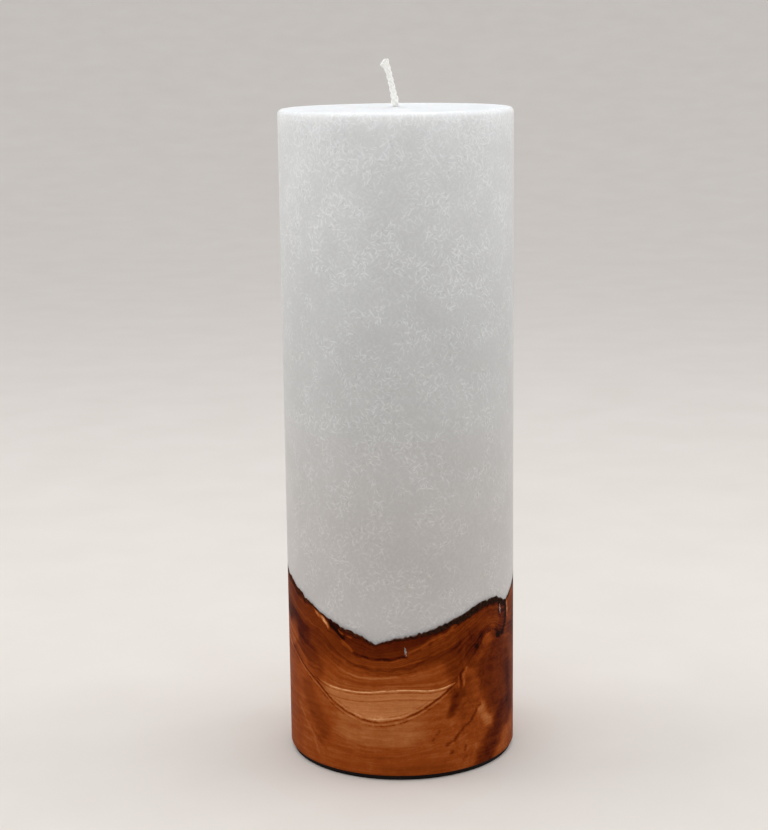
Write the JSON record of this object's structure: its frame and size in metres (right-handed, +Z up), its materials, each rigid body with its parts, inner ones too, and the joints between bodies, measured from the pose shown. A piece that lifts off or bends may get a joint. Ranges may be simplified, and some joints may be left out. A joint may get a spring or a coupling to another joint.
{
  "type": "unity candle",
  "caption": "Tall pillar candle of pale crystalline wax cast onto a round live-edge hardwood foot, with thin dark bark between them and a leaning braided wick.",
  "frame": {"origin": "centre of the resting face, under the anti-slip disc", "axes": "+Z runs up the candle's axis, -Y is the front, where the live edge dips lowest, and +X is to the right seen from the front"},
  "size_m": [0.09, 0.09, 0.2725],
  "materials": {
    "wood": "satin",
    "bark": "matte",
    "wax": "satin",
    "wick_cotton": "matte",
    "tinned_steel": "satin",
    "rubber": "matte"
  },
  "bodies": {
    "candle": {"wood_foot": "wood", "bark": "bark", "wax_pillar": "wax", "crack_fill": "wax", "wick": "wick_cotton", "wick_sustainer": "tinned_steel", "foot_disc": "rubber"},
    "wick_tip": {"wick_end": "wick_cotton"}
  },
  "joints": [
    {"name": "wick_bend", "type": "hinge", "parent": "candle", "child": "wick_tip", "pos_m": [0, 0, 0.25611], "axis": [0, 1, 0], "range_deg": [-70, 90]}
  ]
}
